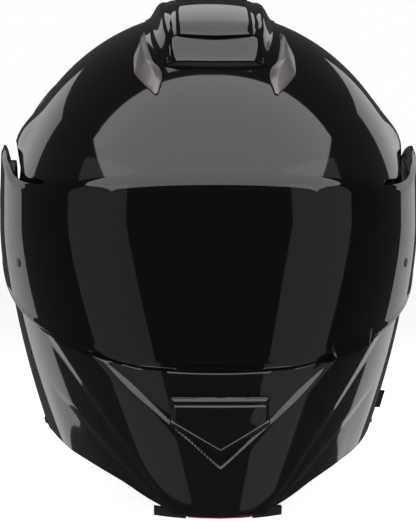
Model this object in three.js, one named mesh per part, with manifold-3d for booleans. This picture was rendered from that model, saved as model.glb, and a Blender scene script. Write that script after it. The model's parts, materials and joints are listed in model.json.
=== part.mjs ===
// A full-size modular (flip-up) motorcycle helmet, in millimetres, +Z up, facing -Y.
// The wearer's left is +X. The origin is on the resting plane, under the middle of the helmet.
import * as THREE from "three";
import { ParametricGeometry } from "three/addons/geometries/ParametricGeometry.js";
import { mergeVertices } from "three/addons/utils/BufferGeometryUtils.js";
import Module from "manifold-3d";

const wasm = await Module();
wasm.setup();

// ---------------------------------------------------------------- driving dimensions
const CROWN_Z = 291; // top of the bare shell
const EQUATOR_Z = 160; // height of the widest section
const HALF_WIDTH = 123; // of the bare shell at the equator
const FRONT_REACH = 150; // section centre to the face at the equator
const BACK_REACH = 166; // section centre to the back at the equator
const SECTION_Y = 3; // where the section centres lie
const JAW_NARROWING = 40; // what the half-width loses from equator to base
const NAPE_TUCK = 44; // what the back reach loses from equator to base
const CHIN_BULGE = 48; // drives how far the chin bar stands forward

const SHELL_WALL = 3.6;
const RECESS_DEPTH = 7.2; // pocket in the shell's sides for the chin bar's arms
const RECESS_WALL = 3;
const EPS_OUTSIDE = -5.2; // skin offset of the liner's outer face
const EPS_INSIDE = -29;
const PAD_INSIDE = -37;
const SHIELD_INSIDE = 1.1;
const SHIELD_WALL = 2.4;

const PIVOT = { y: 8, z: 176 }; // the axis shared by the chin bar and the face shield

// ---------------------------------------------------------------- the helmet's skin
// Every shell, liner and shield is a layer between two offsets of this one surface.
const STRAIGHTEN = 0.08; // how little the face shield's sides lean in above the equator
function section(v, straight) {
  // v runs from 0 at the crown through 0.5 at the equator to 1 at the base.
  const dome = v < 0.5;
  const angle = v * Math.PI;
  const drop = dome ? 0 : (v - 0.5) * 2;
  const swell = dome ? Math.sin(angle) : 1;
  return {
    z: dome ? EQUATOR_Z + (CROWN_Z - EQUATOR_Z) * Math.cos(angle) : EQUATOR_Z * (1 - drop),
    half: HALF_WIDTH * (straight ? swell ** STRAIGHTEN : swell) - JAW_NARROWING * drop ** 1.6,
    front: FRONT_REACH * swell + CHIN_BULGE * drop ** 1.5 * (1.35 - drop),
    back: BACK_REACH * swell - NAPE_TUCK * drop ** 1.6,
    frontPower: 2.2 - 0.4 * drop,
  };
}

function bareSkin(u, v, straight) {
  const s = section(v, straight);
  const turn = u * 2 * Math.PI;
  const c = Math.cos(turn);
  const q = Math.sin(turn);
  const power = q < 0 ? s.frontPower : 2.2;
  const reach = q < 0 ? s.front : s.back;
  return new THREE.Vector3(
    s.half * Math.sign(c) * Math.abs(c) ** (2 / power),
    SECTION_Y + reach * Math.sign(q) * Math.abs(q) ** (2 / power),
    s.z,
  );
}

const STEP = 1e-3;
function skin(u, v, offset, straight = false) {
  const at = bareSkin(u, v, straight);
  if (v < 2 * STEP) return at.setZ(at.z + offset);
  const across = bareSkin(u + STEP, v, straight).sub(bareSkin(u - STEP, v, straight));
  const down = bareSkin(u, Math.min(1, v + STEP), straight).sub(bareSkin(u, v - STEP, straight));
  return at.addScaledVector(across.cross(down).normalize(), -offset);
}

// ---------------------------------------------------------------- solids
function solid(geometry) {
  const bare = geometry.clone();
  bare.deleteAttribute("normal");
  bare.deleteAttribute("uv");
  const merged = mergeVertices(bare, 1e-3);
  const corners = merged.index.array;
  const kept = [];
  for (let i = 0; i < corners.length; i += 3) {
    const [a, b, c] = corners.slice(i, i + 3);
    if (a !== b && b !== c && c !== a) kept.push(a, b, c);
  }
  const made = new wasm.Manifold(
    new wasm.Mesh({
      numProp: 3,
      vertProperties: merged.attributes.position.array,
      triVerts: new Uint32Array(kept),
    }),
  );
  return made;
}

// The closed body inside the skin at an offset, down to a floor well under the helmet.
const bodies = new Map();
function body(offset, around = 32, rows = 14, straight = false) {
  const key = [offset, around, rows, straight].join();
  if (bodies.has(key)) return bodies.get(key);
  const floor = new THREE.Vector3(0, SECTION_Y, -30);
  const shape = new ParametricGeometry((u, v, target) => {
    const row = v * (rows + 2);
    if (row > rows + 1.5) target.copy(floor);
    else if (row > rows + 0.5) target.copy(skin(u, 1, offset, straight)).setZ(floor.z);
    else target.copy(skin(u % 1, Math.min(1, row / rows), offset, straight));
  }, around, rows + 2);
  let made = solid(shape);
  if (made.volume() < 0) {
    shape.index.array.reverse();
    made = solid(shape);
  }
  bodies.set(key, made);
  return made;
}

const layer = (outer, inner, around, rows) => body(outer, around, rows).subtract(body(inner, around, rows));
const shieldLayer = (outer, inner) => body(outer, 36, 15, true).subtract(body(inner, 36, 15, true));

// A side-view outline, pushed through the helmet from low x to high x.
function prism(outline, lowX = -200, highX = 200) {
  const extruded = new THREE.ExtrudeGeometry(outline, { depth: highX - lowX, bevelEnabled: false, curveSegments: 8 });
  extruded.applyMatrix4(new THREE.Matrix4().set(0, 0, 1, lowX, 1, 0, 0, 0, 0, 1, 0, 0, 0, 0, 0, 1));
  return solid(extruded);
}

// A front-view outline, pushed from low y to high y.
function frontPrism(outline, lowY, highY) {
  const extruded = new THREE.ExtrudeGeometry(outline, { depth: highY - lowY, bevelEnabled: false, curveSegments: 6 });
  extruded.applyMatrix4(new THREE.Matrix4().set(1, 0, 0, 0, 0, 0, -1, highY, 0, 1, 0, 0, 0, 0, 0, 1));
  return solid(extruded);
}

const polygon = (...points) => new THREE.Shape(points.map(([a, b]) => new THREE.Vector2(a, b)));

function box(lowX, highX, lowY, highY, lowZ, highZ) {
  const made = new THREE.BoxGeometry(highX - lowX, highY - lowY, highZ - lowZ);
  return solid(made.translate((lowX + highX) / 2, (lowY + highY) / 2, (lowZ + highZ) / 2));
}

// A round bar along X, from one x to another.
function barX(radius, lowX, highX, y, z, segments = 24) {
  const made = new THREE.CylinderGeometry(radius, radius, highX - lowX, segments).rotateZ(-Math.PI / 2);
  return solid(made.translate((lowX + highX) / 2, y, z));
}

const mirrored = (made) => made.mirror([1, 0, 0]);

function meshOf(made) {
  const { numProp, vertProperties, triVerts } = made.getMesh();
  if (numProp !== 3) throw new Error("a solid holds more than positions");
  const geometry = new THREE.BufferGeometry();
  geometry.setAttribute("position", new THREE.BufferAttribute(vertProperties, 3));
  geometry.setIndex(new THREE.BufferAttribute(triVerts, 1));
  return geometry;
}

// ---------------------------------------------------------------- side-view outlines, as [y, z]
const RIM = [[-220, 2], [-158, 2], [-147, 7], [-125, 18], [-86, 28], [-40, 38], [5, 42], [48, 38], [84, 22], [106, 6], [122, 0]];

const rimRaised = (by) =>
  polygon([-220, -60], ...RIM.map(([y, z]) => [y, z + by]), [220, by], [220, -60]);

// What the shell leaves open in front: the eyeport, and the space that the chin bar closes.
const FACE_OPENING = polygon(
  [-220, -60], [-220, 178], [-136, 176], [-112, 171], [-82, 170], [-66, 162],
  [-60, 140], [-56, 100], [-50, 60], [-47, -60],
);
const CHIN_TOP = [[-220, 88], [-150, 90], [-133, 95], [-108, 102], [-62, 117], [-38, 130], [-16, 156]];
const chinOutline = polygon(
  [-220, -60], ...CHIN_TOP, [8, 176], [30, 166], [24, 148], [8, 118], [-8, 82], [-18, 30], [-20, -60],
);
const SHIELD_LOW = [[-190, 81], [-150, 84.5], [-133, 89], [-108, 96], [-62, 111], [-30, 125], [-6, 138], [20, 146]];
const SHIELD_HIGH = [[38, 196], [24, 206], [4, 209.5], [-20, 208], [-40, 199], [-66, 187], [-100, 182], [-140, 186], [-190, 190]];
const shieldOutline = polygon(...SHIELD_LOW, [38, 158], [43, 177], ...SHIELD_HIGH);

const DISC_RADIUS = 25;
const SWING_RADIUS = 95;
const ARM_INSIDE = -5.6;

// ---------------------------------------------------------------- the group and its finishes
const helmet = new THREE.Group();
const finish = (color, roughness, metalness = 0) => new THREE.MeshStandardMaterial({ color, roughness, metalness });
const FINISH = {
  gloss: finish(0x08090a, 0.06),
  satin: finish(0x141416, 0.45),
  vent: finish(0x6d686b, 0.35, 0.3),
  smoke: finish(0x0b0c0e, 0.05),
  rubber: finish(0x121212, 0.8),
  foam: finish(0x1c1c1e, 0.9),
  cloth: finish(0x1e1f22, 0.95),
  webbing: finish(0x141414, 0.85),
  steel: finish(0x9a9da1, 0.3, 1),
  red: finish(0xa01818, 0.35),
};
function add(name, made, material) {
  const mesh = new THREE.Mesh(meshOf(made), FINISH[material]);
  mesh.name = name;
  helmet.add(mesh);
}
// A piece on the wearer's left and its mirror image on the right.
function addPair(name, made, material) {
  add(name + "_left", made, material);
  add(name + "_right", mirrored(made), material);
}
const leftOf = (made) => made.intersect(box(0, 200, -250, 250, -60, 350));

// ---------------------------------------------------------------- outer shell
const disc = (radius) => barX(radius, -200, 200, PIVOT.y, PIVOT.z, 32);
const ARM_PUCK = { inside: 117.2, outside: 121.9 };
// The pocket that the arms swing in, under the face shield's sides; grown, it also takes in the pocket's walls.
function pocketRegion(grow) {
  const seam = [[26 + grow, 146.5 - grow / 2], [10 + grow, 116.5], [-6.4 + grow, 81.5], [-16.8 + grow, 30], [-18.8 + grow, -60]];
  const underShield = polygon(
    [-220, -60], ...SHIELD_HIGH.slice().reverse().slice(1).map(([y, z]) => [y, z + 1.2 + grow]),
    [46 + grow, 177], [40 + grow, 156 - grow / 2], ...seam,
  );
  const lower = polygon([-60, -60], [-64, 150], [8, 200], [31 + grow, 168], ...seam);
  return prism(underShield).intersect(disc(SWING_RADIUS + grow).add(prism(lower)));
}
const aboveRim = (made, by = 0) => made.subtract(prism(rimRaised(by)));

function outerShell() {
  const wall = layer(0, -SHELL_WALL);
  const pocketWall = layer(0, -RECESS_DEPTH - RECESS_WALL).intersect(pocketRegion(RECESS_WALL));
  const pocket = pocketRegion(0).subtract(body(-RECESS_DEPTH));
  return aboveRim(wall.add(pocketWall).subtract(pocket).subtract(prism(FACE_OPENING)));
}


// The largest body of a solid: booleans can leave slivers of no volume beside it.
const whole = (made) => made.decompose().reduce((best, piece) => (piece.volume() > best.volume() ? piece : best));

// Where the chin vent breathes, and the outline of the plate that slides over it.
const CHIN_VENT = { half: 26.5, top: 66.5, shoulder: 51, tip: 35, slotHalf: 20, slotLow: 61.5, slotHigh: 65.5 };
const chinVentOutline = polygon(
  [0, CHIN_VENT.tip], [CHIN_VENT.half, CHIN_VENT.shoulder], [CHIN_VENT.half, CHIN_VENT.top],
  [-CHIN_VENT.half, CHIN_VENT.top], [-CHIN_VENT.half, CHIN_VENT.shoulder],
);

// ---------------------------------------------------------------- chin bar
function chinBarShell() {
  const armZone = disc(58); // where the arms are thicker
  const wall = layer(0, -SHELL_WALL).add(layer(0, ARM_INSIDE).intersect(armZone)).intersect(prism(chinOutline));
  const puck = barX(DISC_RADIUS, ARM_PUCK.inside, ARM_PUCK.outside, PIVOT.y, PIVOT.z, 32);
  const room = barX(DISC_RADIUS + 0.4, 100, ARM_PUCK.inside, PIVOT.y, PIVOT.z, 32);
  const made = wall.subtract(room).subtract(mirrored(room)).add(puck).add(mirrored(puck));
  const { slotHalf, slotLow, slotHigh } = CHIN_VENT;
  return aboveRim(made).subtract(box(-slotHalf, slotHalf, -200, -100, slotLow, slotHigh));
}

function chinBarFoam() {
  const front = prism(polygon([-220, -60], [-220, 84], [-150, 86], [-133, 91], [-108, 98], [-94, 101.2], [-94, -60]));
  const breathing = box(-20, 20, -200, -100, 58, 68);
  return aboveRim(layer(-SHELL_WALL - 1, -16).intersect(front), 5).subtract(breathing).subtract(box(-19, 19, -170, -130, 0, 11));
}

function chinPad() {
  const front = prism(polygon([-220, 24], [-220, 80], [-133, 86], [-104, 92], [-92, 60], [-96, 30]));
  return layer(-17, -22, 24, 10).intersect(front).subtract(box(-24, 24, -200, -100, -60, 100));
}

// ---------------------------------------------------------------- sun visor, a surface turned about its own axis
const SUN = { y: -14, z: 160, radius: 123.5, half: 103, wall: 2, low: 7, high: 46 };
function turned(radius, half, wall) {
  const arc = (r, h) =>
    Array.from({ length: 19 }, (_, i) => {
      const c = Math.cos((i * Math.PI) / 18);
      const q = i % 18 ? Math.sin((i * Math.PI) / 18) : 0;
      return new THREE.Vector2(r * q ** (2 / 2.2), h * Math.sign(c) * Math.abs(c) ** (2 / 2.2));
    });
  const outer = arc(radius, half);
  const profile = wall ? [...outer, ...arc(radius - wall, half - wall).reverse(), outer[0]] : outer;
  const shape = new THREE.LatheGeometry(profile.reverse(), 36).rotateZ(-Math.PI / 2);
  const made = solid(shape.translate(0, SUN.y, SUN.z));
  if (made.volume() > 0) return made;
  shape.index.array.reverse();
  return solid(shape);
}
const fromSun = (degrees, radius) => [
  SUN.y - radius * Math.cos((degrees * Math.PI) / 180),
  SUN.z + radius * Math.sin((degrees * Math.PI) / 180),
];
const fan = (low, high, radius) => [0, 1, 2, 3, 4, 5, 6].map((i) => fromSun(low + ((high - low) * i) / 6, radius));
function sunVisor() {
  const blade = polygon(...fan(SUN.low, SUN.high, 150), fromSun(SUN.high - 2, 62), fromSun(36, 14), fromSun(160, 10),
    fromSun(240, 10), fromSun(320, 12), fromSun(SUN.low + 4, 58));
  return whole(turned(SUN.radius, SUN.half, SUN.wall).intersect(prism(blade)).subtract(barX(3.5, -200, 200, SUN.y, SUN.z, 12)));
}

// ---------------------------------------------------------------- liners
function foamLiner() {
  const cavity = prism(polygon(fromSun(-50, 2), ...fan(-50, 52, 180), fromSun(52, 2))).subtract(
    turned(SUN.radius - 4, SUN.half - 4),
  );
  const armCavity = prism(polygon([-80, 120], [-80, 230], [10, 230], [10, 120])).subtract(body(-24, 24, 10));
  const face = prism(polygon([-220, -60], [-220, 168], [-100, 164], [-72, 158], [-64, 140], [-58, 90], [-54, -60]));
  const made = layer(EPS_OUTSIDE, EPS_INSIDE, 24, 10).subtract(face).subtract(cavity).subtract(armCavity);
  const besidePocket = disc(SWING_RADIUS + 4).intersect(prism(polygon([-220, -60], [-220, 216], [54, 216], [54, -60]))).add(prism(polygon([-72, -60], [-72, 150], [8, 176], [30, 150], [2, 60], [-4, -60])));
  const pocketRoom = besidePocket.subtract(body(-RECESS_DEPTH - RECESS_WALL - 3.6));
  const pinRoom = barX(7, 90, 125, SUN.y, SUN.z, 12);
  return aboveRim(made.subtract(pocketRoom).subtract(pinRoom).subtract(mirrored(pinRoom)), 14);
}

function crownPad() {
  const region = prism(polygon([-220, 186], [-100, 182], [-60, 196], [40, 190], [110, 150], [220, 150], [220, 350], [-220, 350]));
  return layer(-30, PAD_INSIDE, 24, 10).intersect(region);
}

function cheekPad() {
  const region = prism(polygon([-50, 44], [-54, 90], [-58, 132], [-40, 150], [30, 150], [38, 110], [34, 60], [20, 56], [-10, 54]), 0, 200);
  return layer(-36, -53, 24, 10).intersect(region);
}

function neckRoll() {
  const ring = layer(-SHELL_WALL - 1, -26, 24, 10);
  const region = prism(polygon([42, 41], [48, 44], [84, 30], [106, 16], [122, 13], [220, 13], [220, 0], [122, 0], [106, 0], [84, 14], [60, 28], [44, 36]));
  return ring.intersect(region);
}

// ---------------------------------------------------------------- vents on the shell
// A top-view outline, as [x, y], pushed upwards from low z to high z.
function topPrism(outline, lowZ = 180, highZ = 340) {
  const extruded = new THREE.ExtrudeGeometry(outline, { depth: highZ - lowZ, bevelEnabled: false });
  return solid(extruded.translate(0, 0, lowZ));
}
const bothSides = (points) => polygon(...points, ...points.map(([x, y]) => [-x, y]).reverse());

const COWL = [[0, -108], [16, -107], [29, -103], [36, -76], [38, -20], [31, 48], [19, 78], [0, 90]];
function topCowl() {
  const made = layer(8.6, 0.7).intersect(topPrism(bothSides(COWL.slice(1, -1))));
  const mouth = layer(5, 0.2).intersect(topPrism(polygon([-25, -130], [25, -130], [22, -64], [-22, -64])));
  return whole(made.subtract(mouth));
}
function topSlider() {
  return layer(11.6, 9.4).intersect(topPrism(polygon([-21, -96], [21, -96], [19, -20], [-19, -20])));
}
function topScoop() {
  const outline = polygon([30.6, -108], [34, -118], [42, -110], [48.5, -96], [44, -78], [39, -62], [38.6, -76], [38, -92]);
  return layer(5.6, 0.7).intersect(topPrism(outline)).subtract(topPrism(bothSides(COWL.slice(1, -1).map(([x, y]) => [x + 0.6, y]))));
}
const LENS = [[-24, 212], [-2, 224], [28, 240], [56, 253], [40, 256], [4, 248], [-18, 232]];
const LENS_INSERT = [[-20, 215.4], [-2.6, 225.2], [27.4, 241.2], [51, 252.3], [40, 254.6], [5, 246.8], [-16.8, 231.4]];
const SIDE_VENT_DEPTH = 2.2;
function sideVent() {
  const within = prism(polygon(...LENS_INSERT), 0, 200);
  return layer(-0.3, -SIDE_VENT_DEPTH + 0.4).intersect(within);
}
function rearSpoiler() {
  const region = frontPrism(bothSides([[34, 214], [52, 232], [42, 258], [20, 264]]), 60, 220);
  const slot = frontPrism(bothSides([[24, 200], [30, 228], [12, 230]]), 60, 220);
  return layer(9, 0.7).intersect(region).subtract(body(6).intersect(slot));
}
function finishedShell() {
  const lens = prism(polygon(...LENS)).subtract(body(-SIDE_VENT_DEPTH));
  const intake = topPrism(polygon([-16, -84], [16, -84], [16, -76], [-16, -76]), 200);
  const exhaust = frontPrism(bothSides([[22, 222], [22, 230]]), 60, 220);
  const bores = barX(BUSH.radius + 0.3, -200, 200, PIVOT.y, PIVOT.z, 20);
  const leverSlot = prism(polygon([-14, 51], [22, 51], [22, 56], [-14, 56]), 60, 200);
  return whole(outerShell().subtract(lens).subtract(intake).subtract(exhaust).subtract(bores).subtract(leverSlot));
}

// ---------------------------------------------------------------- hinges, latches and controls
const BUSH = { radius: 6, flange: 13 };
function hingeBush() {
  const barrel = barX(BUSH.radius, 105, 123.2, PIVOT.y, PIVOT.z, 20);
  return barrel.add(barX(BUSH.flange, 105, 108, PIVOT.y, PIVOT.z, 20));
}
function shieldCap() {
  const rim = barX(12, 123.5, 126.9, PIVOT.y, PIVOT.z, 24);
  return rim.subtract(box(126, 130, PIVOT.y - 8, PIVOT.y + 8, PIVOT.z - 1, PIVOT.z + 1));
}
const STRIKER = { y: -57, z: 70, radius: 2.6 };
function strikerPlate() {
  const plate = layer(-10.7, -13).intersect(prism(polygon([-62, 62], [-62, 78], [-34, 82], [-34, 60]), 0, 200));
  const pin = barX(STRIKER.radius, 0, 200, STRIKER.y, STRIKER.z, 12).intersect(layer(-6.4, -12));
  return whole(plate.add(leftOf(pin)));
}
function latchHook() {
  const reach = prism(polygon([-84, 60], [-72, 60], [-70, 66], [-66, 73.4], [-54, 73.4], [-53, 79], [-70, 79], [-84, 70]), 0, 200);
  return layer(-6.3, -8.4).intersect(reach);
}
function releaseButton() {
  return layer(-4.1, -13).intersect(box(-17, 17, -170, -146, 0.6, 9)).subtract(box(-30, 30, -149.5, -140, 0, 20));
}
function chinTrim() {
  const lip = layer(-SHELL_WALL - 0.4, -10).intersect(box(-35, 35, -170, -120, 0, 4.6));
  return leftOf(lip).intersect(box(18, 40, -200, 0, -10, 50));
}
function sunLever() {
  const knob = layer(4, 1.2).intersect(prism(polygon([-11, 50], [-3, 50], [-3, 60], [-11, 60]), 0, 200));
  const stem = layer(1.6, -4).intersect(prism(polygon([-9, 52], [-5, 52], [-5, 55], [-9, 55]), 0, 200));
  return knob.add(stem);
}
const SUN_PIN_END = 111.4;
const sunPin = () => barX(3, 97, SUN_PIN_END, SUN.y, SUN.z, 12).add(barX(5, 97, 99.5, SUN.y, SUN.z, 12));

// ---------------------------------------------------------------- seals, trims and the chin bar's small pieces
const lowered = (outline, by) => outline.map(([y, z]) => [y, z - by]);
const chinTopBand = (high, low) =>
  prism(polygon(...lowered(CHIN_TOP.slice(0, 5), high), ...lowered(CHIN_TOP.slice(0, 5), low).reverse()));
const chinSeal = () => layer(-SHELL_WALL - 0.5, -9).intersect(chinTopBand(-0.4, 3)).intersect(box(-200, 200, -200, -92, 0, 200));
function browSeal() {
  const edge = [[-220, 177.6], [-136, 175.6], [-112, 170.6], [-97, 170]];
  const band = prism(polygon(...edge, ...lowered(edge, 3.6).reverse()));
  return layer(0.3, -7).intersect(band);
}
function rimTrim() {
  const edge = [[-6, 41.3], [5, 42.2], [38, 39]];
  const band = prism(polygon(...edge, ...lowered(edge, -6.5).reverse()), 0, 200);
  return layer(-SHELL_WALL - 0.4, -8).intersect(band);
}
const breathDeflector = () => layer(-10, -12, 36, 16).intersect(box(-36, 36, -200, -100, 90.5, 106));
const chinCurtain = () => body(-16.8, 24, 10).intersect(box(-72, 72, -200, -114, 12, 13.6));
const ventPlate = () => layer(3.4, 1).intersect(frontPrism(chinVentOutline, -200, -100));

// ---------------------------------------------------------------- face shield
const PIN = { y: -72, z: 138, radius: 2.6 };
function faceShield() {
  const made = shieldLayer(SHIELD_INSIDE + SHIELD_WALL, SHIELD_INSIDE).intersect(prism(shieldOutline));
  return made.subtract(barX(12.4, -200, 200, PIVOT.y, PIVOT.z, 24)).subtract(barX(PIN.radius + 0.4, -200, 200, PIN.y, PIN.z, 12));
}
const insertPin = () => shieldLayer(4.4, -1).intersect(barX(PIN.radius, 0, 200, PIN.y, PIN.z, 10));
const liftTab = () =>
  shieldLayer(7.5, 3.6).intersect(box(60, 84, -200, -60, 84, 99).intersect(prism(polygon(
    ...SHIELD_LOW.slice(0, 5).map(([y, z]) => [y, z + 0.5]), ...SHIELD_LOW.slice(0, 5).map(([y, z]) => [y, z + 4]).reverse()))));

// ---------------------------------------------------------------- chin strap
const STRAP = { y: 8, width: 20, thick: 2, post: 84 };
const BUCKLE = { low: 8, high: 17, left: 16, right: -14, channelLow: 11, channelHigh: 15 };
const STRAP_LINE = [[78.2, 92], [72.3, 66], [65.8, 44], [55, 29], [38, 18], [20, 13.4], [16.4, 13]];
function band(points) {
  const line = points.map(([x, z]) => new THREE.Vector2(x, z));
  const side = (sign) =>
    line.map((at, i) => {
      const along = line[Math.min(i + 1, line.length - 1)].clone().sub(line[Math.max(i - 1, 0)]).normalize();
      return [at.x - along.y * sign * (STRAP.thick / 2), at.y + along.x * sign * (STRAP.thick / 2)];
    });
  const { y, width } = STRAP;
  return frontPrism(polygon(...side(1), ...side(-1).reverse()), y - width / 2, y + width / 2);
}
const leftStrap = () => band(STRAP_LINE);
const rightStrap = () => mirrored(band([...STRAP_LINE.slice(0, 5), [35, 16.5]]));
const strapPost = () => barX(5, 79.2, 104.8, STRAP.y, STRAP.post, 16);
function buckleBody() {
  const { y, width } = STRAP;
  const { low, high, left, right, channelLow, channelHigh } = BUCKLE;
  const block = box(right, left, y - width / 2 - 2, y + width / 2 + 2, low, high);
  return block.subtract(box(right - 1, left - 3, y - width / 2 + 1, y + width / 2 - 1, channelLow, channelHigh));
}
function buckleTongue() {
  const { y, width } = STRAP;
  const plate = box(-34.4, 10, y - width / 2 + 2, y + width / 2 - 2, 11.6, 13);
  const teeth = [0, 1, 2, 3, 4].map((i) => box(-12 + 4 * i, -10 + 4 * i, y - 5, y + 5, 12.9, 14.2));
  return teeth.reduce((sum, tooth) => sum.add(tooth), plate);
}
const buckleLever = () => box(-13, 15.6, STRAP.y - 8, STRAP.y + 8, 5.4, 7.6);

// ---------------------------------------------------------------- assembly
add("outer_shell", finishedShell(), "gloss");
const strapBores = barX(8, 70, 130, STRAP.y, STRAP.post, 16);
const flangeRoom = barX(BUSH.flange + 3, 100, 130, PIVOT.y, PIVOT.z, 16);
const liner = foamLiner().subtract(strapBores).subtract(mirrored(strapBores)).subtract(flangeRoom).subtract(mirrored(flangeRoom));
add("foam_liner", whole(liner), "foam");
add("crown_pad", crownPad(), "cloth");
addPair("cheek_pad", cheekPad(), "cloth");
add("neck_roll", neckRoll(), "cloth");
addPair("rim_trim", rimTrim(), "rubber");
add("brow_seal", browSeal(), "rubber");
add("top_vent_cowl", topCowl(), "gloss");
add("top_vent_slider", topSlider(), "gloss");
addPair("top_vent_scoop", whole(topScoop()), "vent");
addPair("side_vent", sideVent(), "satin");
add("rear_spoiler", whole(rearSpoiler()), "gloss");
addPair("hinge_bush", hingeBush(), "steel");
addPair("striker_plate", strikerPlate(), "steel");
add("sun_visor", sunVisor(), "smoke");
addPair("sun_visor_pin", sunPin(), "steel");
add("sun_visor_lever", sunLever(), "satin");
addPair("strap_post", strapPost(), "steel");
add("strap_left", leftStrap(), "webbing");
add("strap_right", rightStrap(), "webbing");
add("buckle_body", buckleBody(), "satin");
add("buckle_tongue", buckleTongue(), "satin");
add("buckle_lever", buckleLever(), "red");

add("chin_bar_shell", whole(chinBarShell().subtract(barX(BUSH.radius + 0.3, -200, 200, PIVOT.y, PIVOT.z, 20))), "gloss");
add("chin_bar_foam", chinBarFoam(), "foam");
addPair("chin_bar_pad", leftOf(chinPad()), "cloth");
add("chin_bar_seal", chinSeal(), "rubber");
add("breath_deflector", breathDeflector(), "rubber");
add("chin_curtain", chinCurtain(), "cloth");
addPair("chin_edge_trim", chinTrim(), "rubber");
addPair("latch_hook", latchHook(), "steel");
add("release_button", releaseButton(), "red");
add("chin_vent_plate", ventPlate(), "gloss");

add("face_shield", faceShield(), "smoke");
addPair("shield_insert_pin", insertPin(), "satin");
add("shield_lift_tab", liftTab(), "satin");
addPair("shield_cap", shieldCap(), "satin");

export default helmet;
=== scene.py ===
"""A gloss black flip-up motorcycle helmet: smooth skins, vents, liner and finishes around its CAD frame."""

from __future__ import annotations

import json
import logging
import math
from dataclasses import dataclass
from enum import Enum
from typing import Callable, Iterable, Sequence

import bmesh
import bpy
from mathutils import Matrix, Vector

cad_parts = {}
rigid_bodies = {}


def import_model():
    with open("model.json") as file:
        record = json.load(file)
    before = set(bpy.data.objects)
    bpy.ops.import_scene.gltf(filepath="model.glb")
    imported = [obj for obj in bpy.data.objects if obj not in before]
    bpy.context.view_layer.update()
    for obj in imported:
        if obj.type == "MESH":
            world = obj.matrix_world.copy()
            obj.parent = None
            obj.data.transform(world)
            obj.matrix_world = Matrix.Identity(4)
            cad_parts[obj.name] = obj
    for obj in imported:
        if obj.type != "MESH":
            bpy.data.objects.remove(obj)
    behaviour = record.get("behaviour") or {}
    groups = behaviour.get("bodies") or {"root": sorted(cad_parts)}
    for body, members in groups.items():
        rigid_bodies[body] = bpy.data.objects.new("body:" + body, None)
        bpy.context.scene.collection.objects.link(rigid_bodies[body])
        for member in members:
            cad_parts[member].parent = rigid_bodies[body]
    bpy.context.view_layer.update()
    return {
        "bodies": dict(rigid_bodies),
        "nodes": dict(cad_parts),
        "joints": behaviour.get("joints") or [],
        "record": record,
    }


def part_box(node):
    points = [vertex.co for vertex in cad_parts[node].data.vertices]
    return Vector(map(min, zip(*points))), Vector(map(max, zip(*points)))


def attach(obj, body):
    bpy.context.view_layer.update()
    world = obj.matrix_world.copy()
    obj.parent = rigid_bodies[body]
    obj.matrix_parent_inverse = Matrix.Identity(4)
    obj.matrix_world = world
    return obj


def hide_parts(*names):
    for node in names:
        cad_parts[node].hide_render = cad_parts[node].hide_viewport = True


LOG = logging.getLogger("helmet")
MM = 0.001
Curve = Sequence[tuple[float, float]]
Shade = tuple[float, float, float]
SIDES = (("left", 1), ("right", -1))
PIVOT = (8 * MM, 176 * MM)
HEAD_CENTRE = Vector((0, 0, 140 * MM))


# ---------------------------------------------------------------- shader helpers
class Socket:
    """One output socket, on which arithmetic adds Math nodes."""

    def __init__(self, nodes: Nodes, link: bpy.types.NodeSocket) -> None:
        """Keeps the node tree that the socket belongs to.

        Args:
            nodes: The tree under construction.
            link: The output socket.
        """
        self.nodes, self.link = nodes, link

    def _math(self, operation: str, first: object, second: object) -> Socket:
        """One Math node.

        Args:
            operation: The node's operation.
            first: Its first value or socket.
            second: Its second value or socket.

        Returns:
            The node's result.
        """
        return self.nodes.node("ShaderNodeMath", {"operation": operation}, {0: first, 1: second})

    def __add__(self, other: object) -> Socket:
        """self + other."""
        return self._math("ADD", self, other)

    def __mul__(self, other: object) -> Socket:
        """self * other."""
        return self._math("MULTIPLY", self, other)

    def __sub__(self, other: object) -> Socket:
        """self - other."""
        return self._math("SUBTRACT", self, other)

    def __rsub__(self, other: object) -> Socket:
        """other - self."""
        return self._math("SUBTRACT", other, self)

    __radd__, __rmul__ = __add__, __mul__

    def sine(self) -> Socket:
        """The sine of a value in radians."""
        return self._math("SINE", self, 0.0)


class Nodes:
    """A node tree whose nodes are added one by one."""

    def __init__(self, tree: bpy.types.NodeTree) -> None:
        """Keeps the tree."""
        self.tree = tree

    def fill(self, socket: bpy.types.NodeSocket, value: object) -> None:
        """Links or sets one input."""
        if isinstance(value, Socket):
            self.tree.links.new(value.link, socket)
        else:
            socket.default_value = value

    def node(
        self, kind: str, settings: dict[str, object], values: dict[int | str, object], out: int | str = 0
    ) -> Socket:
        """Adds a node.

        Args:
            kind: The node's type.
            settings: Its settings; "stops" sets a colour ramp's.
            values: Values or Sockets of its inputs.
            out: The output to return.

        Returns:
            That output.
        """
        made = self.tree.nodes.new(kind)
        for name, value in settings.items():
            if name == "stops":
                for stop, (at, shade) in zip(made.color_ramp.elements, value):
                    stop.position, stop.color = at, (*shade, 1.0)
            else:
                setattr(made, name, value)
        for name, value in values.items():
            self.fill(made.inputs[name], value)
        return Socket(self, made.outputs[out])


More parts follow.
